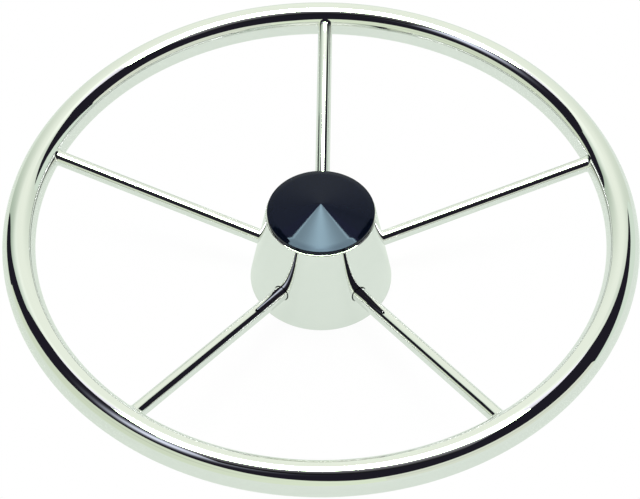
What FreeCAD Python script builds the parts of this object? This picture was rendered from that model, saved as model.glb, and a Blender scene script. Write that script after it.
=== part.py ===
"""Stainless boat steering wheel: an oval-section tube rim on five dished spokes, with a spun hub bell over a
turned boss that takes a keyed tapered shaft, closed by a back plate and a snap-in centre cap.

Millimetres. The origin is on the wheel's axis in the plane of the hub's back, and +Z points at the helmsman.
"""

import FreeCAD
import Part
import math
import os

# Rim: a round tube rolled into a ring, which leaves its section a little taller than wide
OUTER_DIAMETER = 394.0
RIM_TUBE_WIDTH = 20.2
RIM_TUBE_HEIGHT = 22.6
RIM_WALL = 1.5
RIM_PLANE = 47.3  # the rim's middle over the back of the hub

# Spokes: round bars, coped to the rim's inner wall and let into the boss
SPOKE_COUNT = 5
FIRST_SPOKE = 90.0
SPOKE_DIAMETER = 9.5
SPOKE_ROOT_HEIGHT = 14.0  # where a spoke's centre line would cross the wheel's axis
SPOKE_TIP_RISE = 0.5  # of the centre line over the rim's middle, where it meets the rim
SPOKE_SEAT_DEPTH = 8.0  # of the blind hole in the boss
SPOKE_SEAT_CLEARANCE = 0.1
SPOKE_WELD = 1.5  # radius of the weld's hollow fillet round a spoke's end at the rim

# Hub bell: a spun conical shell with its top turned in
BELL_BASE_DIAMETER = 90.0
BELL_HEIGHT = 59.3
BELL_WALL = 1.5
BELL_FLANK = 10.3  # degrees off the axis
BELL_TOP_BEND = 1.6
BELL_MOUTH_DIAMETER = 46.0
BELL_HOLE_CLEARANCE = 0.5

# Back plate: closes the bell, flush with its lower edge
PLATE_THICKNESS = 2.5
PLATE_CLEARANCE = 0.1

# Boss: turned bar, its foot let through the back plate
BOSS_DIAMETER = 46.0
BOSS_FOOT_DIAMETER = 34.0
BOSS_HEIGHT = 42.0
BOSS_CHAMFER = 1.2
SHAFT_DIAMETER = 19.05  # the helm shaft, at the large end of its taper
SHAFT_TAPER = 12.0  # length over which the diameter falls by one
KEYWAY_WIDTH = 4.76
KEYWAY_DEPTH = 2.4
KEYWAY_ANGLE = 270.0

# Centre cap: a moulded shallow cone with a rolled-down edge, on sprung legs
CAP_DIAMETER = 66.8
CAP_EDGE_THICKNESS = 2.5
CAP_CONE_SLOPE = 10.5  # degrees off the horizontal
CAP_ROLL_SLOPE = 21.0
CAP_ROLL_WIDTH = 3.4
CAP_ROLL_RADIUS = 16.0
CAP_EDGE_RADIUS = 0.4
CAP_WALL = 2.4
LEG_COUNT = 6
LEG_THICKNESS = 1.8
LEG_LENGTH = 7.0
LEG_SLOT_WIDTH = 3.2
LEG_CLEARANCE = 0.15
LEG_CATCH = 0.7  # how far a catch reaches out past the bell's mouth
LEG_CATCH_GAP = 0.2
LEG_CATCH_LAND = 0.6

AXIS = FreeCAD.Vector(0, 0, 1)
ORIGIN = FreeCAD.Vector(0, 0, 0)

RIM_CENTRE_RADIUS = (OUTER_DIAMETER - RIM_TUBE_WIDTH) / 2
RIM_INNER_RADIUS = OUTER_DIAMETER / 2 - RIM_TUBE_WIDTH
SPOKE_RISE = math.atan2(RIM_PLANE + SPOKE_TIP_RISE - SPOKE_ROOT_HEIGHT, RIM_INNER_RADIUS)


def point(radius, height):
    """A point of an outline, in the plane of +X and the axis."""
    return FreeCAD.Vector(radius, 0, height)


def rounded(corners):
    """A closed wire through corners of (radius, height, rounding), with an arc at each rounded one."""
    starts = []
    ends = []
    arcs = []
    for index, (radius, height, rounding) in enumerate(corners):
        here = point(radius, height)
        before = point(*corners[index - 1][:2]) - here
        after = point(*corners[(index + 1) % len(corners)][:2]) - here
        before.normalize()
        after.normalize()
        if not rounding:
            starts.append(here)
            ends.append(here)
            arcs.append(None)
            continue
        half = before.getAngle(after) / 2
        middle = before + after
        middle.normalize()
        reach = rounding / math.tan(half)
        start = here + before * reach
        end = here + after * reach
        crown = here + middle * (rounding / math.sin(half) - rounding)
        starts.append(start)
        ends.append(end)
        arcs.append(Part.Arc(start, crown, end).toShape())
    edges = []
    for index, arc in enumerate(arcs):
        if arc:
            edges.append(arc)
        edges.append(Part.LineSegment(ends[index], starts[(index + 1) % len(corners)]).toShape())
    return Part.Wire(edges)


def turned(corners):
    """The solid that an outline makes when it is turned about the wheel's axis."""
    return Part.Face(rounded(corners)).revolve(ORIGIN, AXIS, 360)


def around(shape, angle):
    """A copy of a shape, turned about the wheel's axis."""
    copy = shape.copy()
    copy.rotate(ORIGIN, AXIS, angle)
    return copy


def spoke_angles():
    """Where the spokes stand about the axis, in degrees."""
    return [FIRST_SPOKE + 360.0 / SPOKE_COUNT * index for index in range(SPOKE_COUNT)]


def spoke_bar(radius, start, end):
    """A bar along the spoke's centre line, over +X, between two distances from the wheel's axis."""
    along = FreeCAD.Vector(math.cos(SPOKE_RISE), 0, math.sin(SPOKE_RISE))
    root = FreeCAD.Vector(0, 0, SPOKE_ROOT_HEIGHT)
    length = (end - start) / math.cos(SPOKE_RISE)
    return Part.makeCylinder(radius, length, root + along * (start / math.cos(SPOKE_RISE)), along)


def rim_section(inset):
    """The tube's oval section in four tangent arcs, an inset inside its outside.

    The side arcs have the curvature of an ellipse of the same width and height.
    """
    wide = RIM_TUBE_WIDTH / 2
    tall = RIM_TUBE_HEIGHT / 2
    crown = wide * (wide + tall) / (2 * tall)
    join = math.atan(wide * (2 * tall + wide) / (2 * tall * (wide + tall)))
    across = (crown - inset) * math.cos(join)
    up = tall - crown + (crown - inset) * math.sin(join)
    stations = [
        (across, up),
        (wide - inset, 0),
        (across, -up),
        (0, inset - tall),
        (-across, -up),
        (inset - wide, 0),
        (-across, up),
        (0, tall - inset),
        (across, up),
    ]
    points = [point(RIM_CENTRE_RADIUS + x, RIM_PLANE + z) for x, z in stations]
    arcs = [Part.Arc(*points[first : first + 3]).toShape() for first in (0, 2, 4, 6)]
    return Part.Wire(arcs)


def rim_ring(inset):
    """The rim's ring, filled in, with its surface an inset inside the tube's outside."""
    return Part.Face(rim_section(inset)).revolve(ORIGIN, AXIS, 360)


def make_rim_tube():
    """The rolled tube, closed on itself."""
    return rim_ring(0).cut(rim_ring(RIM_WALL))


def make_spoke():
    """One spoke over +X, from the floor of its seat in the boss to the rim's inner wall, with its weld.

    The weld's fillet is rolled where the bar meets the ring, and the ring is then taken away again.
    """
    start = BOSS_DIAMETER / 2 - SPOKE_SEAT_DEPTH
    bar = spoke_bar(SPOKE_DIAMETER / 2, start, RIM_CENTRE_RADIUS)
    ring = around(rim_ring(0), 180)  # its seam is turned away from the joint
    welded = bar.fuse(ring)
    joint = point(RIM_INNER_RADIUS, RIM_PLANE + SPOKE_TIP_RISE)
    corner = [edge for edge in welded.Edges if edge.CenterOfMass.distanceToPoint(joint) < SPOKE_DIAMETER / 2]
    return welded.makeFillet(SPOKE_WELD, corner).cut(ring)


def bell_radius(height, inset):
    """The bell's radius at a height, an inset inside its outside."""
    flank = math.radians(BELL_FLANK)
    return BELL_BASE_DIAMETER / 2 - height * math.tan(flank) - inset / math.cos(flank)


def make_hub_bell():
    """The spun shell, with a hole for each spoke."""
    mouth = BELL_MOUTH_DIAMETER / 2
    under = BELL_HEIGHT - BELL_WALL
    shell = turned([
        (bell_radius(0, 0), 0, 0),
        (bell_radius(BELL_HEIGHT, 0), BELL_HEIGHT, BELL_TOP_BEND),
        (mouth, BELL_HEIGHT, 0),
        (mouth, under, 0),
        (bell_radius(under, BELL_WALL), under, max(BELL_TOP_BEND - BELL_WALL, 0)),
        (bell_radius(0, BELL_WALL), 0, 0),
    ])
    hole = spoke_bar(SPOKE_DIAMETER / 2 + BELL_HOLE_CLEARANCE, BOSS_DIAMETER / 2, BELL_BASE_DIAMETER)
    return shell.cut([around(hole, angle) for angle in spoke_angles()])


def make_back_plate():
    """The disc that closes the bell, its edge turned to the bell's taper."""
    hole = BOSS_FOOT_DIAMETER / 2 + PLATE_CLEARANCE
    return turned([
        (hole, 0, 0),
        (bell_radius(0, BELL_WALL) - PLATE_CLEARANCE, 0, 0),
        (bell_radius(PLATE_THICKNESS, BELL_WALL) - PLATE_CLEARANCE, PLATE_THICKNESS, 0),
        (hole, PLATE_THICKNESS, 0),
    ])


def taper_radius(height):
    """The radius of the tapered bore at a height over the back of the hub."""
    return (SHAFT_DIAMETER - height / SHAFT_TAPER) / 2


def make_keyway():
    """The cutter for the keyway, over +X, whose floor follows the taper."""
    low = -KEYWAY_DEPTH
    high = BOSS_HEIGHT + KEYWAY_DEPTH
    outline = Part.makePolygon([
        point(0, low),
        point(taper_radius(low) + KEYWAY_DEPTH, low),
        point(taper_radius(high) + KEYWAY_DEPTH, high),
        point(0, high),
        point(0, low),
    ])
    outline.translate(FreeCAD.Vector(0, -KEYWAY_WIDTH / 2, 0))
    return Part.Face(outline).extrude(FreeCAD.Vector(0, KEYWAY_WIDTH, 0))


def make_hub_boss():
    """The turned boss, with its tapered bore, keyway and spoke seats."""
    body = turned([
        (taper_radius(0), 0, 0),
        (BOSS_FOOT_DIAMETER / 2, 0, 0),
        (BOSS_FOOT_DIAMETER / 2, PLATE_THICKNESS, 0),
        (BOSS_DIAMETER / 2, PLATE_THICKNESS, 0),
        (BOSS_DIAMETER / 2, BOSS_HEIGHT - BOSS_CHAMFER, 0),
        (BOSS_DIAMETER / 2 - BOSS_CHAMFER, BOSS_HEIGHT, 0),
        (taper_radius(BOSS_HEIGHT), BOSS_HEIGHT, 0),
    ])
    floor = BOSS_DIAMETER / 2 - SPOKE_SEAT_DEPTH
    seat = spoke_bar(SPOKE_DIAMETER / 2 + SPOKE_SEAT_CLEARANCE, floor, BOSS_DIAMETER)
    cutters = [around(seat, angle) for angle in spoke_angles()]
    cutters.append(around(make_keyway(), KEYWAY_ANGLE))
    return body.cut(cutters)


def make_centre_cap():
    """The moulded cap, seated on the bell's top, with its skirt slotted into sprung legs."""
    edge = CAP_DIAMETER / 2
    edge_top = BELL_HEIGHT + CAP_EDGE_THICKNESS
    roll = edge - CAP_ROLL_WIDTH
    roll_height = edge_top + CAP_ROLL_WIDTH * math.tan(math.radians(CAP_ROLL_SLOPE))
    slope = math.tan(math.radians(CAP_CONE_SLOPE))
    apex = roll_height + roll * slope
    leg_out = BELL_MOUTH_DIAMETER / 2 - LEG_CLEARANCE
    leg_in = leg_out - LEG_THICKNESS
    catch = BELL_MOUTH_DIAMETER / 2 + LEG_CATCH
    catch_top = BELL_HEIGHT - BELL_WALL - LEG_CATCH_GAP
    foot = BELL_HEIGHT - LEG_LENGTH
    ceiling = apex - CAP_WALL / math.cos(math.radians(CAP_CONE_SLOPE))
    body = turned([
        (0, apex, 0),
        (roll, roll_height, CAP_ROLL_RADIUS),
        (edge, edge_top, CAP_EDGE_RADIUS),
        (edge, BELL_HEIGHT, 0),
        (leg_out, BELL_HEIGHT, 0),
        (leg_out, catch_top, 0),
        (catch, catch_top, 0),
        (catch, catch_top - LEG_CATCH_LAND, 0),
        (leg_out, foot, 0),
        (leg_in, foot, 0),
        (leg_in, ceiling - leg_in * slope, 0),
        (0, ceiling, 0),
    ])
    slot = Part.makeBox(
        edge,
        LEG_SLOT_WIDTH,
        LEG_LENGTH,
        FreeCAD.Vector(0, -LEG_SLOT_WIDTH / 2, foot),
    )
    return body.cut([around(slot, 360.0 / LEG_COUNT * index) for index in range(LEG_COUNT)])


def main():
    os.makedirs("parts", exist_ok=True)
    pieces = {
        "rim_tube": make_rim_tube(),
        "hub_bell": make_hub_bell(),
        "back_plate": make_back_plate(),
        "hub_boss": make_hub_boss(),
        "centre_cap": make_centre_cap(),
    }
    spoke = make_spoke()
    for index, angle in enumerate(spoke_angles()):
        pieces[f"spoke_{index + 1}"] = around(spoke, angle)
    for name, shape in pieces.items():
        if len(shape.Solids) != 1 or not shape.isValid():
            raise ValueError(f"{name} is not one sound solid")
        shape.Solids[0].exportStep(f"parts/{name}.step")


main()
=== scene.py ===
"""The looks of a stainless boat steering wheel, standing on the back of its hub in a plain white studio.

It has a polished tube rim on five dished bars, a spun hub bell and a moulded black centre cap. All is in
metres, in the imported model's own frame: the origin is on the wheel's axis in the plane of the hub's back.

In the studio's numbers, an azimuth is in degrees, 0 at the camera's side and growing to the right. A span is
where a change starts and where it ends, a hill is the middle of a soft peak and its width, and edges are the
two edges of a sheet, as it hangs.
"""

import bpy
import math
from mathutils import Matrix, Vector


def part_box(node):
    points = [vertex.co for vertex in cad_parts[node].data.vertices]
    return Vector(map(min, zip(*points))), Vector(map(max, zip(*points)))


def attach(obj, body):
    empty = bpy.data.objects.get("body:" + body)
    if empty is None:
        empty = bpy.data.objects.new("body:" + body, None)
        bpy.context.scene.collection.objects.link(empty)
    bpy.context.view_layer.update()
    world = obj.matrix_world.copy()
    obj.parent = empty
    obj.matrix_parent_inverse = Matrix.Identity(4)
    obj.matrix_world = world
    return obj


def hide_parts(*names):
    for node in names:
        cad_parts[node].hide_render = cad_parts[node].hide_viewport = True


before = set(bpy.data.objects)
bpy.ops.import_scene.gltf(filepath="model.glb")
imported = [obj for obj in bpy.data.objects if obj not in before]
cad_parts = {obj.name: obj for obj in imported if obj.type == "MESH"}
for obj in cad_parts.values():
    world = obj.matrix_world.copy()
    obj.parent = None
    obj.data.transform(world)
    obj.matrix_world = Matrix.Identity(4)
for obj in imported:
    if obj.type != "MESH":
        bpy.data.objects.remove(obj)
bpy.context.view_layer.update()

MM = 0.001

# Rim: the tube's outside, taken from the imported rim, with its width across the ring
RIM_LOW, RIM_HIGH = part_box("rim_tube")
RIM_PLANE = (RIM_LOW.z + RIM_HIGH.z) / 2
RIM_HALF_HEIGHT = (RIM_HIGH.z - RIM_LOW.z) / 2
RIM_HALF_WIDTH = 10.1 * MM
RIM_CENTRE = RIM_HIGH.x - RIM_HALF_WIDTH
RIM_STEPS = 320
RIM_SECTION_STEPS = 72

# Spokes: round bars, welded to the rim's inner wall and let into the boss
SPOKE_COUNT = 5
FIRST_SPOKE = math.radians(90)
BAR_RADIUS = 4.75 * MM
BAR_SEAT = 15 * MM  # how far from the axis a bar begins, in its seat in the boss
BAR_ROOT_HEIGHT = 14 * MM  # where a bar's centre line would cross the wheel's axis
BAR_TIP_RISE = 0.5 * MM
BAR_STEPS = 64
WELD_RADIUS = 1.5 * MM
WELD_STEPS = 8
WELD_SINK = 0.03 * MM
WELD_STEP = 0.3 * MM
BAR_RISE = math.atan2(RIM_PLANE + BAR_TIP_RISE - BAR_ROOT_HEIGHT, RIM_CENTRE - RIM_HALF_WIDTH)
BAR_ALONG = Vector((math.cos(BAR_RISE), 0, math.sin(BAR_RISE)))
BAR_TURN = (0, math.pi / 2 - BAR_RISE, 0)

# Hub bell: a spun conical shell with its top turned in
BELL_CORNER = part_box("hub_bell")[1]
BELL_BASE = BELL_CORNER.x
BELL_TOP = BELL_CORNER.z
BELL_WALL = 1.5 * MM
BELL_FLANK = math.radians(10.3)
BELL_TOP_BEND = 0.8 * MM
BELL_MOUTH = 23 * MM
BELL_HOLE_CLEARANCE = 0.5 * MM

# Centre cap: a moulded shallow cone with a rolled-down edge, on six sprung legs
CAP_LOW, CAP_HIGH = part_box("centre_cap")
CAP_EDGE = CAP_HIGH.x
CAP_APEX = CAP_HIGH.z
CAP_EDGE_THICKNESS = 2.67 * MM
CAP_CONE_SLOPE = math.radians(10.5)
CAP_ROLL_SLOPE = math.radians(18.5)
CAP_ROLL_WIDTH = 3.4 * MM
CAP_ROLL_RADIUS = 16 * MM
CAP_EDGE_RADIUS = 0.4 * MM
CAP_POINT_RADIUS = 0.5 * MM
CAP_WALL = 2.4 * MM
LEG_COUNT = 6
LEG_THICKNESS = 1.8 * MM
LEG_SLOT_WIDTH = 3.2 * MM
LEG_CLEARANCE = 0.15 * MM
LEG_CATCH = 0.7 * MM
LEG_CATCH_GAP = 0.2 * MM
LEG_CATCH_LAND = 0.6 * MM

TURNED_STEPS = 256
ARC_STEP = math.radians(3)
SMOOTH_ANGLE = math.radians(30)
LONG_RUN = 2 * MM  # a straight run over this length is braced at its ends
BRACE = 0.15 * MM
TOUCHING = 0.002 * MM

# Camera, for a frame of 640 by 499
LENS = 113.55
CAMERA_DISTANCE = 1254.7 * MM
CAMERA_ELEVATION = math.radians(49.333)
CAMERA_ROUND = math.radians(0.986)
CAMERA_PAN = math.radians(0.0267)
CAMERA_TILT = math.radians(-0.6568)
CAMERA_ROLL = math.radians(-0.064)

# Floor, and the dark room with its round lilac lamp at the front left
FLOOR_RADIUS = 6.0
FLOOR_SIDES = 96
FLOOR_COLOUR = (0.79, 0.865, 0.78, 1)
FLOOR_LEFT_COLOUR = (0.73, 0.82, 0.67, 1)
FLOOR_CHANGE_SPAN = (-1.0, 0.1)  # from its left colour to its colour
SEEN_SHADOW_SHARE = 0.035
SEEN_SHADOW_SPAN = (0.05, 0.2)  # distances from the wheel's axis
MIRRORED_SHADOW_SHARE = 0.08
MIRRORED_SHADOW_SPAN = (0.25, 0.5)
WHITE = (1, 1, 1, 1)
ROOM_COLOUR = (0.014, 0.0125, 0.02)
ROOM_LOWEST = 0.02  # height of a direction, under which the room doesn't change any more
LILAC_COLOUR = (0.84, 0.88, 1.04)
LILAC_ACROSS_HILL = (-0.57, 0.3)  # for a direction that rises by one
LILAC_AWAY_HILL = (-0.227, 0.21)

# Sheets hung round the wheel
SHEET_SIZE = 9.0
SHEET_EDGE = 0.01  # half the softness of an edge

# The sheet overhead
OVERHEAD_HEIGHT = 2.65
OVERHEAD_COLOUR = (1.0, 0.98, 1.06)
OVERHEAD_GLOW = 1.25
OVERHEAD_GLOW_SPAN = (-1.11, 2.24)
OVERHEAD_LEAN = 0.18  # how much sooner it glows at the right
OVERHEAD_LEAN_SPAN = (-0.3, 0.7)
OVERHEAD_SIDE_EDGES = (-1.02, 1.329)
OVERHEAD_TAPER = 0.158  # of its right edge, towards the back
OVERHEAD_END_EDGES = (-1.2, 1.98)

# The lamp in the sheet overhead: a straight stem, and wings whose slanted edges are brighter
LAMP_COLOUR = (29, 39, 24)
LAMP_PLAIN_COLOUR = (9.5, 9.3, 9.5)  # for all but mirrored rays, which keeps the light on the wheel plain
LAMP_RIGHT = -0.02
LAMP_FRONT_SPAN = (0.01, 0.14)
LAMP_CORE = 0.3
LAMP_SIDE_SHARE = 0.5
STEM_HALF_WIDTH = 0.52
STEM_BACK = 1.54
WING_HALF_WIDTH = 1.3
WING_SLANT = 1.05
WING_REACH = 1.81
WING_EDGE_HILL = (1.76, 0.03)
WING_EDGE_SHARE = 0.8
FIRST_MIRROR_SPAN = (1.2, 1.8)  # mirrors on a ray's way: the lamp shows in full in the first one only

# The backdrop behind the wheel
BACKDROP_AZIMUTH = 179.2
BACKDROP_DISTANCE = 0.778
BACKDROP_COLOUR = (0.91, 0.97, 0.84, 1)
BACKDROP_SIDE_COLOUR = (0.42, 0.52, 0.41, 1)
BACKDROP_TOP = 1.489
BACKDROP_LEFT = 1.14
BACKDROP_LEFT_STEP = 0.14
BACKDROP_LEFT_STEP_SPAN = (0.55, 0.85)
BACKDROP_RIGHT = 0.68
BACKDROP_RIGHT_SLANT = 0.33  # below a height of one
BACKDROP_LEFT_FADE_SPAN = (0.1, 1.35)
BACKDROP_RIGHT_FADE_SPAN = (0.15, 0.9)
BACKDROP_RIGHT_FADE_SHARE = 0.45
TOP_GLOW = 0.25
TOP_GLOW_UP_SPAN = (0.95, 1.35)
TOP_GLOW_HILL = (0.02, 0.4)
LEFT_GLOW = 0.17
LEFT_GLOW_UP_SPAN = (0.75, 1.1)
LEFT_GLOW_ACROSS_SPAN = (0.2, 0.6)
BACKDROP_FOLD = 0.35
BACKDROP_FOLD_SLANT = 0.25
BACKDROP_FOLD_HILL = (1.02, 0.08)
BACKDROP_FOLD_SPAN = (0.12, 0.3)

# The sheet at the camera's left
LEFT_AZIMUTH = -39.6
LEFT_DISTANCE = 1.22
LEFT_COLOUR = (0.69, 0.77, 0.60)
LEFT_EDGES = (-3.63, 2.2)
LEFT_TOP = 0.74
LEFT_TOP_STEP = 0.083
LEFT_TOP_STEP_SPAN = (-2.05, -1.85)
LEFT_TOP_SLOPE = 0.3  # of its far end
LEFT_TOP_SLOPE_START = -2.6
LEFT_GAIN = 0.14
LEFT_GAIN_SPAN = (-0.5, 1.2)
LEFT_FOLD = 0.2
LEFT_FOLD_UP_HILL = (0.45, 0.06)
LEFT_FOLD_ACROSS_HILL = (-0.1, 0.6)

# The sheet at the camera's right
RIGHT_AZIMUTH = 29.2
RIGHT_DISTANCE = 2.3
RIGHT_COLOUR = (0.77, 0.82, 0.69)
RIGHT_EDGES = (-1.6, 4.05)
RIGHT_TOP = 1.04
RIGHT_TOP_SLOPE = 0.076
RIGHT_FOLD = 0.12
RIGHT_FOLD_HILL = (0.6, 0.14)

# The sheet between the right one and the backdrop
FAR_RIGHT_AZIMUTH = 119.9
FAR_RIGHT_DISTANCE = 1.327
FAR_RIGHT_COLOUR = (0.71, 0.82, 0.70)
FAR_RIGHT_EDGES = (-0.89, 0.79)
FAR_RIGHT_TOP = 0.7
FAR_RIGHT_TOP_SLOPE = 0.572
FAR_RIGHT_TOP_SLOPE_END = 0.05

# Finishes
GRAIN_LENGTH = 4 * MM  # how far a whole turn about the axis counts in a grain that runs round it
BAR_GRAIN_SHARE = 0.02
POLISH_TONES = ((0.845, 0.86, 0.85, 1), (0.875, 0.88, 0.872, 1))
POLISH_LINES_SCALE = 2600
POLISH_HAZE_SCALE = 38
POLISH_BUMP = 0.05
POLISH_DEPTH = 0.02 * MM
POLISH_ROUGHNESS = 0.012
POLISH_LINES_ROUGHNESS = 0.012
POLISH_HAZE_ROUGHNESS = 0.01
TOOL_FEED = 0.25 * MM
LATHE_TONES = ((0.60, 0.60, 0.585, 1), (0.70, 0.70, 0.685, 1))
LATHE_CUT_SCALE = 1800
LATHE_CLOUD_SCALE = 60
LATHE_BUMP = 0.25
LATHE_DEPTH = 0.03 * MM
LATHE_RING_SHARE = 0.5  # of the tool's rings in the bump, beside the finer cut
LATHE_ROUGHNESS = 0.2
LATHE_CUT_ROUGHNESS = 0.1
LATHE_CLOUD_ROUGHNESS = 0.08
PLASTIC_TONES = ((0.0021, 0.0036, 0.0092, 1), (0.0031, 0.0051, 0.0118, 1))
PLASTIC_GRAIN_SCALE = 2400
PLASTIC_CLOUD_SCALE = 120
PLASTIC_BUMP = 0.12
PLASTIC_DEPTH = 0.02 * MM
PLASTIC_ROUGHNESS = 0.03
PLASTIC_GRAIN_ROUGHNESS = 0.02
PLASTIC_GLOSS = 0.225
PLASTIC_GLOSS_COLOUR = (0.45, 0.5, 1, 1)


def pick(piece):
    """Selects one piece, alone."""
    bpy.ops.object.select_all(action="DESELECT")
    piece.select_set(True)
    bpy.context.view_layer.objects.active = piece


def edit(piece):
    """Opens one piece in edit mode, alone."""
    pick(piece)
    bpy.ops.object.mode_set(mode="EDIT")


def close():
    """Ends the shaping of the piece in edit mode: doubles merged, faces outwards, sharp edges kept."""
    bpy.ops.mesh.select_all(action="SELECT")
    bpy.ops.mesh.remove_doubles(threshold=TOUCHING)
    bpy.ops.mesh.normals_make_consistent(inside=False)
    bpy.ops.mesh.select_all(action="DESELECT")
    bpy.ops.object.mode_set(mode="OBJECT")
    bpy.ops.object.shade_smooth_by_angle(angle=SMOOTH_ANGLE)


def settle(piece):
    """Puts a piece's place, turn and size into its mesh."""
    pick(piece)
    bpy.ops.object.transform_apply(location=True, rotation=True, scale=True)


def cut_with(piece, cutter):
    """Cuts a piece with a cutter, and throws the cutter away."""
    pick(piece)
    cut = piece.modifiers.new("cut", "BOOLEAN")
    cut.operation = "DIFFERENCE"
    cut.solver = "EXACT"
    cut.object = cutter
    bpy.ops.object.modifier_apply(modifier=cut.name)
    bpy.data.objects.remove(cutter)
    bpy.ops.object.shade_smooth_by_angle(angle=SMOOTH_ANGLE)


def joined(pieces):
    """One piece made of several."""
    bpy.ops.object.select_all(action="DESELECT")
    for piece in pieces:
        piece.select_set(True)
    bpy.context.view_layer.objects.active = pieces[0]
    bpy.ops.object.join()
    return bpy.context.object


def turned_copy(piece, name, angle):
    """A copy of a piece with its own mesh, turned about the wheel's axis."""
    copy = piece.copy()
    copy.data = piece.data.copy()
    copy.name = name
    bpy.context.collection.objects.link(copy)
    copy.matrix_world = Matrix.Rotation(angle, 4, "Z") @ piece.matrix_world
    settle(copy)
    return copy


def rounded(corners):
    """The stations of a closed outline through corners of (radius, height, rounding), arcs in even steps."""
    stations = []
    for index, (radius, height, rounding) in enumerate(corners):
        here = Vector((radius, height))
        if not rounding:
            stations.append(here)
            continue
        before = (Vector(corners[index - 1][:2]) - here).normalized()
        after = (Vector(corners[(index + 1) % len(corners)][:2]) - here).normalized()
        half = before.angle(after) / 2
        centre = here + (before + after).normalized() * rounding / math.sin(half)
        start = here + before * rounding / math.tan(half) - centre
        sweep = start.angle_signed(here + after * rounding / math.tan(half) - centre)
        steps = max(2, math.ceil(abs(sweep) / ARC_STEP))
        for step in range(steps + 1):
            stations.append(centre + Matrix.Rotation(-sweep * step / steps, 2) @ start)
    return stations


def braced(stations, closed):
    """The same outline with a station just inside each end of its long runs, to keep their shading flat."""
    outline = []
    for index, start in enumerate(stations):
        end = Vector(stations[(index + 1) % len(stations)])
        start = Vector(start)
        outline.append(start)
        run = end - start
        last = index == len(stations) - 1
        if run.length > LONG_RUN and (closed or not last):
            inwards = run.normalized() * BRACE
            outline += [start + inwards, end - inwards]
    return outline


def turned(name, stations, solid=False):
    """A turned piece: a ring drawn out and resized from station to station of its outline.

    The outline closes on itself, or on the axis at both its ends where the piece is solid there.
    """
    stations = braced(stations, not solid)
    radius, height = stations[0]
    bpy.ops.object.select_all(action="DESELECT")
    bpy.ops.mesh.primitive_circle_add(
        vertices=TURNED_STEPS,
        radius=radius,
        location=(0, 0, height),
        fill_type="TRIFAN" if solid else "NOTHING",
    )
    piece = bpy.context.object
    piece.name = name
    settle(piece)
    edit(piece)
    bpy.ops.mesh.select_all(action="SELECT")
    if solid:
        bpy.ops.mesh.region_to_loop()
    for station in stations[1:] + stations[:0 if solid else 1]:
        bpy.ops.mesh.extrude_region_move(TRANSFORM_OT_translate={"value": (0, 0, station[1] - height)})
        share = station[0] / radius
        bpy.ops.transform.resize(value=(share, share, 1), center_override=(0, 0, 0))
        radius, height = station
    if solid:
        bpy.ops.mesh.extrude_region_move()
        bpy.ops.mesh.merge(type="CENTER")
    close()
    return piece


def make_rim():
    """The rolled tube: its oval section stood up at its place and spun about the wheel's axis."""
    bpy.ops.object.select_all(action="DESELECT")
    bpy.ops.mesh.primitive_circle_add(
        vertices=RIM_SECTION_STEPS,
        radius=RIM_HALF_WIDTH,
        location=(RIM_CENTRE, 0, RIM_PLANE),
        rotation=(math.pi / 2, 0, 0),
    )
    rim = bpy.context.object
    rim.name = "rim_polished_tube"
    rim.scale.y = RIM_HALF_HEIGHT / RIM_HALF_WIDTH
    settle(rim)
    edit(rim)
    bpy.ops.mesh.select_all(action="SELECT")
    bpy.ops.mesh.spin(steps=RIM_STEPS, angle=math.tau, center=(0, 0, RIM_PLANE), axis=(0, 0, 1))
    close()
    return rim


def make_bar(rim):
    """One spoke over +X: a bar drawn out to length, flared into its weld and fitted to the rim's wall."""
    bpy.ops.object.select_all(action="DESELECT")
    bpy.ops.mesh.primitive_circle_add(vertices=BAR_STEPS, radius=BAR_RADIUS, fill_type="NGON")
    bar = bpy.context.object
    bar.name = "spoke_template"
    bar.rotation_euler = BAR_TURN
    bar.location = Vector((0, 0, BAR_ROOT_HEIGHT)) + BAR_ALONG * BAR_SEAT / math.cos(BAR_RISE)
    length = (RIM_CENTRE - RIM_HALF_WIDTH - BAR_SEAT) / math.cos(BAR_RISE)
    edit(bar)
    bpy.ops.mesh.select_all(action="SELECT")
    straight = length - 2 * BAR_RADIUS
    bpy.ops.mesh.extrude_region_move(
        TRANSFORM_OT_translate={"value": (0, 0, straight), "orient_type": "LOCAL"}
    )
    rings = []
    radius = BAR_RADIUS
    height = straight
    for step in range(WELD_STEPS + 1):
        turn = math.pi / 2 * step / WELD_STEPS
        wider = BAR_RADIUS + WELD_RADIUS * (1 - math.cos(turn))
        share = wider / radius
        bpy.ops.mesh.extrude_region_move(
            TRANSFORM_OT_translate={"value": (0, 0, WELD_STEP), "orient_type": "LOCAL"}
        )
        bpy.ops.transform.resize(value=(share, share, 1), orient_type="LOCAL")
        radius = wider
        height += WELD_STEP
        rings.append((height, WELD_RADIUS * (1 - math.sin(turn)) - WELD_SINK))
    bpy.ops.object.mode_set(mode="OBJECT")
    for index, (height, _) in enumerate(rings):
        ring = [vertex.index for vertex in bar.data.vertices if abs(vertex.co.z - height) < WELD_STEP / 2]
        bar.vertex_groups.new(name=f"weld_{index}").add(ring, 1, "REPLACE")
    for index, (_, gap) in enumerate(rings):
        fit = bar.modifiers.new("fit_to_rim", "SHRINKWRAP")
        fit.wrap_method = "PROJECT"
        fit.use_project_z = True
        fit.target = rim
        fit.vertex_group = f"weld_{index}"
        fit.offset = gap
        bpy.ops.object.modifier_apply(modifier=fit.name)
    bar.vertex_groups.clear()
    settle(bar)
    edit(bar)
    close()
    edit(bar)
    bpy.ops.mesh.select_all(action="SELECT")
    bpy.ops.mesh.flip_normals()  # the weld's flare faces back along the bar, and is taken for the inside
    bpy.ops.object.mode_set(mode="OBJECT")
    return bar


def bell_radius(height, inset):
    """The bell's radius at a height, an inset inside its outside."""
    return BELL_BASE - height * math.tan(BELL_FLANK) - inset / math.cos(BELL_FLANK)


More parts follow.
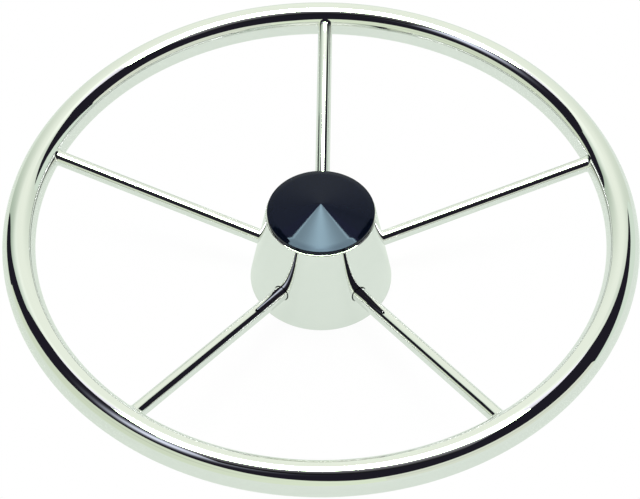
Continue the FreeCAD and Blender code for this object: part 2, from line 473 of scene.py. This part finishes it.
def make_bell():
    """The spun shell over the hub, with a hole for each spoke."""
    under = BELL_TOP - BELL_WALL
    bell = turned("hub_spun_bell", rounded([
        (bell_radius(0, 0), 0, 0),
        (bell_radius(BELL_TOP, 0), BELL_TOP, BELL_TOP_BEND),
        (BELL_MOUTH, BELL_TOP, 0),
        (BELL_MOUTH, under, 0),
        (bell_radius(under, BELL_WALL), under, 0),
        (bell_radius(0, BELL_WALL), 0, 0),
    ]))
    bpy.ops.object.select_all(action="DESELECT")
    bpy.ops.mesh.primitive_cylinder_add(
        vertices=BAR_STEPS,
        radius=BAR_RADIUS + BELL_HOLE_CLEARANCE,
        depth=BELL_BASE,
        location=Vector((0, 0, BAR_ROOT_HEIGHT)) + BAR_ALONG * BELL_BASE,
        rotation=BAR_TURN,
    )
    drill = bpy.context.object
    settle(drill)
    drills = [drill]
    for index in range(1, SPOKE_COUNT):
        drills.append(turned_copy(drill, f"drill_{index}", math.tau / SPOKE_COUNT * index))
    drill = joined(drills)
    drill.matrix_world = Matrix.Rotation(FIRST_SPOKE, 4, "Z")
    settle(drill)
    cut_with(bell, drill)
    return bell


def make_cap():
    """The moulded cap, with its skirt slotted into sprung legs."""
    edge_top = BELL_TOP + CAP_EDGE_THICKNESS
    roll = CAP_EDGE - CAP_ROLL_WIDTH
    roll_height = edge_top + CAP_ROLL_WIDTH * math.tan(CAP_ROLL_SLOPE)
    leg_out = BELL_MOUTH - LEG_CLEARANCE
    leg_in = leg_out - LEG_THICKNESS
    catch = BELL_MOUTH + LEG_CATCH
    catch_top = BELL_TOP - BELL_WALL - LEG_CATCH_GAP
    ceiling = CAP_APEX - CAP_WALL / math.cos(CAP_CONE_SLOPE)
    point = CAP_POINT_RADIUS * math.sin(CAP_CONE_SLOPE)
    cap = turned("centre_cap_moulding", rounded([
        (point, CAP_APEX - point * math.tan(CAP_CONE_SLOPE), 0),
        (roll, roll_height, CAP_ROLL_RADIUS),
        (CAP_EDGE, edge_top, CAP_EDGE_RADIUS),
        (CAP_EDGE, BELL_TOP, 0),
        (leg_out, BELL_TOP, 0),
        (leg_out, catch_top, 0),
        (catch, catch_top, 0),
        (catch, catch_top - LEG_CATCH_LAND, 0),
        (leg_out, CAP_LOW.z, 0),
        (leg_in, CAP_LOW.z, 0),
        (leg_in, ceiling - leg_in * math.tan(CAP_CONE_SLOPE), 0),
        (point, ceiling, 0),
    ]), solid=True)
    slots = []
    for index in range(LEG_COUNT):
        angle = math.tau / LEG_COUNT * index
        bpy.ops.object.select_all(action="DESELECT")
        bpy.ops.mesh.primitive_cube_add(
            size=1,
            location=(math.cos(angle) * BELL_MOUTH, math.sin(angle) * BELL_MOUTH, CAP_LOW.z),
            rotation=(0, 0, angle),
            scale=(2 * LEG_SLOT_WIDTH, LEG_SLOT_WIDTH, 2 * (BELL_TOP - CAP_LOW.z)),
        )
        settle(bpy.context.object)
        slots.append(bpy.context.object)
    cut_with(cap, joined(slots))
    return cap


class Value:
    """A shader socket that holds a number, for plain sums."""

    def __init__(self, graph, socket):
        self.graph = graph
        self.socket = socket

    def of(self, operation, *terms):
        """A sum or function of this number and others."""
        return self.graph.math(operation, self, *terms)

    def __add__(self, other):
        return self.of("ADD", other)

    __radd__ = __add__

    def __sub__(self, other):
        return self.of("SUBTRACT", other)

    def __rsub__(self, other):
        return self.graph.math("SUBTRACT", other, self)

    def __mul__(self, other):
        return self.of("MULTIPLY", other)

    __rmul__ = __mul__

    def __truediv__(self, other):
        return self.of("DIVIDE", other)


class Graph:
    """The nodes of one material, or of the world."""

    def __init__(self, owner):
        owner.use_nodes = True
        self.tree = owner.node_tree
        self.tree.nodes.clear()

    def add(self, kind, settings=None, values=None):
        """A node of one kind: its settings are made first, then its sockets are given values or links."""
        node = self.tree.nodes.new(kind)
        for name, setting in (settings or {}).items():
            setattr(node, name, setting)
        for name, value in (values or {}).items():
            if isinstance(value, Value):
                value = value.socket
            if isinstance(value, bpy.types.NodeSocket):
                self.tree.links.new(value, node.inputs[name])
            else:
                node.inputs[name].default_value = value
        return node

    def out(self, kind, settings=None, values=None, name=0):
        """One output of a new node, ready for sums."""
        return Value(self, self.add(kind, settings, values).outputs[name])

    def math(self, operation, *terms):
        """One step of a sum."""
        return self.out("ShaderNodeMath", {"operation": operation}, dict(enumerate(terms)))

    def parts(self, vector):
        """The three numbers of a vector."""
        split = self.add("ShaderNodeSeparateXYZ", values={"Vector": vector})
        return [Value(self, output) for output in split.outputs]

    def vector(self, x, y, z):
        """A vector of three numbers."""
        return self.out("ShaderNodeCombineXYZ", values={"X": x, "Y": y, "Z": z})

    def lit(self, colour, strength):
        """A colour, as strong as a number says."""
        return self.out("ShaderNodeVectorMath", {"operation": "SCALE"}, {0: colour, "Scale": strength})

    def both(self, first, second):
        """Two colours of light together."""
        return self.out("ShaderNodeVectorMath", {"operation": "ADD"}, {0: first, 1: second})

    def mix(self, share, first, second):
        """A colour between two, by the second one's share."""
        return self.out("ShaderNodeMix", {"data_type": "RGBA"}, {0: share, 6: first, 7: second}, 2)

    def reach(self, x, y):
        """How far a point lies from the wheel's axis."""
        return (x * x + y * y).of("SQRT")

    def smooth(self, value, low, high):
        """0 where a value is below low, 1 where it is above high, and smooth between them."""
        return self.out(
            "ShaderNodeMapRange",
            {"interpolation_type": "SMOOTHSTEP"},
            {"Value": value, "From Min": low, "From Max": high},
        )

    def within(self, value, low, high):
        """1 where a value lies between low and high, with its edges softened."""
        over_low = self.smooth(value, low - SHEET_EDGE, low + SHEET_EDGE)
        over_high = self.smooth(value, high - SHEET_EDGE, high + SHEET_EDGE)
        return over_low * (1 - over_high)

    def below(self, value, high):
        """1 where a value is under high, with the edge softened."""
        return 1 - self.smooth(value - high, -SHEET_EDGE, SHEET_EDGE)

    def hill(self, value, centre, width):
        """1 where a value is at the centre, falling away on both sides."""
        off = (value - centre) / width
        return (off * off * -1).of("EXPONENT")

    def choose(self, share, first, second):
        """A surface between two, by the second one's share."""
        return self.out("ShaderNodeMixShader", values={0: share, 1: first, 2: second})

    def shadowed(self, colour, share):
        """A surface that shines in its colour, but takes a share of that from the light that falls on it."""
        shining = self.out("ShaderNodeEmission", values={"Color": colour, "Strength": 1.0})
        return self.choose(share, shining, self.out("ShaderNodeBsdfDiffuse", values={"Color": colour}))

    def place(self):
        """Where a point lies on the object."""
        return Value(self, self.add("ShaderNodeTexCoord").outputs["Object"])

    def noise(self, vector, scale, detail=2.0, roughness=0.5):
        """Uneven values about a half."""
        return self.out(
            "ShaderNodeTexNoise",
            {"noise_dimensions": "3D"},
            {"Vector": vector, "Scale": scale, "Detail": detail, "Roughness": roughness},
            "Fac",
        )

    def bump(self, strength, depth, height):
        """A small relief in a surface, no deeper than the depth."""
        return self.out("ShaderNodeBump", values={"Strength": strength, "Distance": depth, "Height": height})

    def finish(self, surface, kind="ShaderNodeOutputMaterial"):
        """Makes a surface the one that shows."""
        self.add(kind, values={"Surface": surface})


def ring_grain(graph):
    """Where a point lies on the rim, drawn out along the ring so that a pattern on it runs with the tube."""
    x, y, z = graph.parts(graph.place())
    radius = graph.reach(x, y)
    across = radius - RIM_CENTRE
    return graph.vector(
        x / radius * GRAIN_LENGTH,
        y / radius * GRAIN_LENGTH + across,
        z - RIM_PLANE,
    )


def bar_grain(graph):
    """Where a point lies on its own spoke, drawn out along the bar."""
    x, y, z = graph.parts(graph.place())
    radius = graph.reach(x, y)
    sector = math.tau / SPOKE_COUNT
    turn = y.of("ARCTAN2", x) + (math.tau * 2 - FIRST_SPOKE + sector / 2)
    turn = turn.of("MODULO", sector) - sector / 2
    out = radius * turn.of("COSINE")
    side = radius * turn.of("SINE")
    return graph.vector(out * BAR_GRAIN_SHARE, side, z - out * math.tan(BAR_RISE))


def spun_grain(graph):
    """Where a point lies on the bell, drawn out round it as the spinner's tool runs."""
    x, y, z = graph.parts(graph.place())
    radius = graph.reach(x, y)
    return graph.vector(x / radius * GRAIN_LENGTH, y / radius * GRAIN_LENGTH, z)


def polished_steel(name, grain):
    """Mirror-polished stainless: a faint grain from the polishing belt, and a softly uneven gloss."""
    material = bpy.data.materials.new(name)
    graph = Graph(material)
    along = grain(graph)
    lines = graph.noise(along, POLISH_LINES_SCALE, 3, 0.6)
    haze = graph.noise(graph.place(), POLISH_HAZE_SCALE, 3, 0.55)
    tone = graph.mix(haze, *POLISH_TONES)
    bump = graph.bump(POLISH_BUMP, POLISH_DEPTH, lines)
    shader = graph.out("ShaderNodeBsdfPrincipled", values={
        "Base Color": tone,
        "Metallic": 1.0,
        "Roughness": POLISH_ROUGHNESS + POLISH_LINES_ROUGHNESS * lines + POLISH_HAZE_ROUGHNESS * haze,
        "Normal": bump,
    })
    graph.finish(shader)
    return material


def turned_steel():
    """Stainless as it comes off the lathe: fine rings from the tool, over a satin ground."""
    material = bpy.data.materials.new("turned_stainless")
    graph = Graph(material)
    x, y, z = graph.parts(graph.place())
    radius = graph.reach(x, y)
    rings = ((radius + z) * (math.tau / TOOL_FEED)).of("SINE")
    cut = graph.noise(graph.vector(radius, z, 0.0), LATHE_CUT_SCALE, 2)
    cloud = graph.noise(graph.place(), LATHE_CLOUD_SCALE, 3)
    bump = graph.bump(LATHE_BUMP, LATHE_DEPTH, rings * LATHE_RING_SHARE + cut)
    shader = graph.out("ShaderNodeBsdfPrincipled", values={
        "Base Color": graph.mix(cloud, *LATHE_TONES),
        "Metallic": 1.0,
        "Roughness": LATHE_ROUGHNESS + LATHE_CUT_ROUGHNESS * cut + LATHE_CLOUD_ROUGHNESS * cloud,
        "Normal": bump,
    })
    graph.finish(shader)
    return material


def moulded_black():
    """Black plastic with a blue cast and the fine grain of its mould."""
    material = bpy.data.materials.new("moulded_black_plastic")
    graph = Graph(material)
    place = graph.place()
    grain = graph.noise(place, PLASTIC_GRAIN_SCALE, 2)
    cloud = graph.noise(place, PLASTIC_CLOUD_SCALE, 3)
    bump = graph.bump(PLASTIC_BUMP, PLASTIC_DEPTH, grain)
    shader = graph.out("ShaderNodeBsdfPrincipled", values={
        "Base Color": graph.mix(cloud, *PLASTIC_TONES),
        "Roughness": PLASTIC_ROUGHNESS + PLASTIC_GRAIN_ROUGHNESS * grain,
        "Specular IOR Level": PLASTIC_GLOSS,
        "Specular Tint": PLASTIC_GLOSS_COLOUR,
        "Normal": bump,
    })
    graph.finish(shader)
    return material


def white_floor():
    """A pale floor: white to the eye with a faint shadow round the hub, and pale green in the metal."""
    bpy.ops.object.select_all(action="DESELECT")
    bpy.ops.mesh.primitive_circle_add(vertices=FLOOR_SIDES, radius=FLOOR_RADIUS, fill_type="NGON")
    floor = bpy.context.object
    floor.name = "floor"
    material = bpy.data.materials.new("pale_floor")
    graph = Graph(material)
    path = graph.add("ShaderNodeLightPath")
    facing = graph.add("ShaderNodeNewGeometry")
    x, y, _ = graph.parts(graph.place())
    radius = graph.reach(x, y)
    near = 1 - graph.smooth(radius, *MIRRORED_SHADOW_SPAN)
    under = 1 - graph.smooth(radius, *SEEN_SHADOW_SPAN)
    own = graph.mix(graph.smooth(x, *FLOOR_CHANGE_SPAN), FLOOR_LEFT_COLOUR, FLOOR_COLOUR)
    plain = graph.out("ShaderNodeBsdfDiffuse", values={"Color": own})
    seen = graph.shadowed(WHITE, under * SEEN_SHADOW_SHARE)
    mirrored = graph.shadowed(own, near * MIRRORED_SHADOW_SHARE)
    floor_light = graph.choose(path.outputs["Is Glossy Ray"], plain, mirrored)
    floor_light = graph.choose(path.outputs["Is Camera Ray"], floor_light, seen)
    clear = graph.out("ShaderNodeBsdfTransparent")
    graph.finish(graph.choose(facing.outputs["Backfacing"], floor_light, clear))
    material.cycles.emission_sampling = "NONE"
    floor.data.materials.append(material)


def hang(name, distance, paint, azimuth=None):
    """A big sheet hung round the wheel, which shows in its polish only: upright at an azimuth, or overhead.

    The azimuth is in degrees, 0 towards the camera's side and growing to the right. The paint says how far
    the sheet is there, and its light, by how far a point lies across it and up it.
    """
    overhead = azimuth is None
    angle = math.radians(azimuth or 0)
    bpy.ops.object.select_all(action="DESELECT")
    bpy.ops.mesh.primitive_plane_add(
        size=SHEET_SIZE,
        location=(0, 0, distance) if overhead else (
            math.sin(angle) * distance, -math.cos(angle) * distance, 0
        ),
        rotation=(0 if overhead else math.pi / 2, 0, angle),
    )
    sheet = bpy.context.object
    sheet.name = name
    settle(sheet)
    material = bpy.data.materials.new(name)
    graph = Graph(material)
    x, y, z = graph.parts(graph.place())
    across = x * math.cos(angle) + y * math.sin(angle)
    there, light = paint(graph, across, y if overhead else z)
    path = graph.add("ShaderNodeLightPath")
    there = there * (1 - Value(graph, path.outputs["Is Camera Ray"]))
    clear = graph.out("ShaderNodeBsdfTransparent")
    shining = graph.out("ShaderNodeEmission", values={"Color": light, "Strength": 1.0})
    graph.finish(graph.choose(there, clear, shining))
    sheet.data.materials.append(material)


def overhead_sheet(graph, right, back):
    """The sheet over the wheel: it fades out towards the camera, and a lamp shines through its middle."""
    lean = OVERHEAD_LEAN * graph.smooth(right, *OVERHEAD_LEAN_SPAN)
    glow = OVERHEAD_GLOW * graph.smooth(back + lean, *OVERHEAD_GLOW_SPAN)
    off = (right - LAMP_RIGHT).of("ABSOLUTE")
    slanted = off + WING_SLANT * back
    stem = graph.below(off, STEM_HALF_WIDTH) * graph.below(back, STEM_BACK)
    wings = graph.below(slanted, WING_REACH) * graph.below(off, WING_HALF_WIDTH)
    wings = wings * (1 + WING_EDGE_SHARE * graph.hill(slanted, *WING_EDGE_HILL))
    core = LAMP_SIDE_SHARE + (1 - LAMP_SIDE_SHARE) * graph.hill(off, 0, LAMP_CORE)
    lamp = stem.of("MAXIMUM", wings) * graph.smooth(back, *LAMP_FRONT_SPAN) * core
    path = graph.add("ShaderNodeLightPath")
    glossy = Value(graph, path.outputs["Is Glossy Ray"])
    mirrored = glossy * (1 - graph.smooth(Value(graph, path.outputs["Glossy Depth"]), *FIRST_MIRROR_SPAN))
    light = graph.both(
        graph.lit(LAMP_COLOUR, lamp * mirrored),
        graph.lit(LAMP_PLAIN_COLOUR, lamp * (1 - mirrored)),
    )
    taper = OVERHEAD_TAPER * graph.smooth(right, 0, 1) * back
    there = graph.within(right + taper, *OVERHEAD_SIDE_EDGES) * graph.within(back, *OVERHEAD_END_EDGES)
    return there, graph.both(graph.lit(OVERHEAD_COLOUR, glow), light)


def backdrop(graph, left, up):
    """The white sheet behind the wheel, brightest in its middle and at its top.

    It has a soft fold at its right. Its left edge steps out near the top, and its right edge slants in.
    """
    right = left * -1
    step = BACKDROP_LEFT_STEP * graph.smooth(up, *BACKDROP_LEFT_STEP_SPAN)
    slant = BACKDROP_RIGHT_SLANT * (1 - up).of("MAXIMUM", 0.0)
    there = (
        graph.below(left - step, BACKDROP_LEFT)
        * graph.below(right - slant, BACKDROP_RIGHT)
        * graph.below(up, BACKDROP_TOP)
    )
    middle = 1 - graph.smooth(left, *BACKDROP_LEFT_FADE_SPAN)
    middle = middle * (1 - BACKDROP_RIGHT_FADE_SHARE * graph.smooth(right, *BACKDROP_RIGHT_FADE_SPAN))
    top = TOP_GLOW * graph.smooth(up, *TOP_GLOW_UP_SPAN) * graph.hill(right, *TOP_GLOW_HILL)
    top = top + LEFT_GLOW * graph.smooth(up, *LEFT_GLOW_UP_SPAN) * graph.smooth(left, *LEFT_GLOW_ACROSS_SPAN)
    fold = graph.hill(up - BACKDROP_FOLD_SLANT * right, *BACKDROP_FOLD_HILL)
    fold = BACKDROP_FOLD * fold * graph.smooth(right, *BACKDROP_FOLD_SPAN)
    colour = graph.mix(middle * (1 - fold), BACKDROP_SIDE_COLOUR, BACKDROP_COLOUR)
    return there, graph.both(colour, graph.lit(WHITE[:3], top))


def left_sheet(graph, across, up):
    """The low cream sheet at the camera's left, with a soft fold across it, lower towards its far end."""
    fold = LEFT_FOLD * graph.hill(up, *LEFT_FOLD_UP_HILL) * graph.hill(across, *LEFT_FOLD_ACROSS_HILL)
    bright = (1 + LEFT_GAIN * graph.smooth(across, *LEFT_GAIN_SPAN)) * (1 - fold)
    top = LEFT_TOP + LEFT_TOP_STEP * graph.smooth(across, *LEFT_TOP_STEP_SPAN)
    top = top + LEFT_TOP_SLOPE * (across - LEFT_TOP_SLOPE_START).of("MINIMUM", 0.0)
    there = graph.within(across, *LEFT_EDGES) * graph.below(up - top, 0)
    return there, graph.lit(LEFT_COLOUR, bright)


def right_sheet(graph, across, up):
    """The low cream sheet at the camera's right, farther off."""
    bright = 1 - RIGHT_FOLD * graph.hill(up, *RIGHT_FOLD_HILL)
    there = graph.within(across, *RIGHT_EDGES) * graph.below(up - RIGHT_TOP_SLOPE * across, RIGHT_TOP)
    return there, graph.lit(RIGHT_COLOUR, bright)


def far_right_sheet(graph, across, up):
    """The sheet that joins the right one to the backdrop, higher towards the backdrop."""
    slope = FAR_RIGHT_TOP_SLOPE * across.of("MINIMUM", FAR_RIGHT_TOP_SLOPE_END)
    there = graph.within(across, *FAR_RIGHT_EDGES) * graph.below(up - slope, FAR_RIGHT_TOP)
    return there, graph.lit(FAR_RIGHT_COLOUR, 1)


def make_studio():
    """A dark room with a round lilac lamp at the front left, and white sheets hung in it.

    The camera sees plain white in place of the room and the sheets.
    """
    world = bpy.data.worlds.new("studio")
    bpy.context.scene.world = world
    graph = Graph(world)
    x, y, z = graph.parts(Value(graph, graph.add("ShaderNodeTexCoord").outputs["Generated"]))
    up = z.of("MAXIMUM", ROOM_LOWEST)
    lilac = graph.hill(x / up, *LILAC_ACROSS_HILL) * graph.hill(y / up, *LILAC_AWAY_HILL)
    room = graph.both(ROOM_COLOUR, graph.lit(LILAC_COLOUR, lilac))
    path = graph.add("ShaderNodeLightPath")
    seen = graph.out("ShaderNodeBackground", values={"Color": WHITE, "Strength": 1.0})
    studio = graph.out("ShaderNodeBackground", values={"Color": room, "Strength": 1.0})
    graph.finish(graph.choose(path.outputs["Is Camera Ray"], studio, seen), "ShaderNodeOutputWorld")
    white_floor()
    hang("sheet_overhead", OVERHEAD_HEIGHT, overhead_sheet)
    hang("sheet_backdrop", BACKDROP_DISTANCE, backdrop, BACKDROP_AZIMUTH)
    hang("sheet_left", LEFT_DISTANCE, left_sheet, LEFT_AZIMUTH)
    hang("sheet_right", RIGHT_DISTANCE, right_sheet, RIGHT_AZIMUTH)
    hang("sheet_far_right", FAR_RIGHT_DISTANCE, far_right_sheet, FAR_RIGHT_AZIMUTH)


def make_camera():
    """A long lens above the near side of the rim, turned a little about the wheel's axis."""
    camera = bpy.data.objects.new("camera", bpy.data.cameras.new("camera"))
    bpy.context.collection.objects.link(camera)
    out = Vector((0, -math.cos(CAMERA_ELEVATION), math.sin(CAMERA_ELEVATION)))
    look = (-out).to_track_quat("-Z", "Y").to_matrix()
    look = look @ Matrix.Rotation(CAMERA_PAN, 3, "Y")
    look = look @ Matrix.Rotation(CAMERA_TILT, 3, "X")
    look = look @ Matrix.Rotation(CAMERA_ROLL, 3, "Z")
    round_axis = Matrix.Rotation(CAMERA_ROUND, 3, "Z")
    place = (round_axis @ look).to_4x4()
    place.translation = round_axis @ (out * CAMERA_DISTANCE) + Vector((0, 0, RIM_PLANE))
    camera.matrix_world = place
    camera.data.lens = LENS
    bpy.context.scene.camera = camera


def dress(piece, material):
    """Gives a piece its material and its body."""
    piece.data.materials.clear()
    piece.data.materials.append(material)
    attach(piece, "root")


def main():
    """Sets the camera and the studio, makes the visible pieces and gives every piece its finish."""
    make_camera()
    make_studio()
    rim = make_rim()
    bar = make_bar(rim)
    bell = make_bell()
    cap = make_cap()

    dress(rim, polished_steel("polished_rim_tube", ring_grain))
    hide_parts("rim_tube")
    dress(bell, polished_steel("polished_spun_bell", spun_grain))
    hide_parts("hub_bell")
    dress(cap, moulded_black())
    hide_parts("centre_cap")
    bar_finish = polished_steel("polished_spoke_bar", bar_grain)
    for index in range(SPOKE_COUNT):
        angle = FIRST_SPOKE + math.tau / SPOKE_COUNT * index
        spoke = turned_copy(bar, f"spoke_polished_bar_{index + 1}", angle)
        dress(spoke, bar_finish)
        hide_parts(f"spoke_{index + 1}")
    bpy.data.objects.remove(bar)
    lathe_finish = turned_steel()
    for name in ("hub_boss", "back_plate"):
        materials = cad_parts[name].data.materials
        materials.clear()
        materials.append(lathe_finish)

    bpy.context.scene.view_settings.view_transform = "Standard"


main()
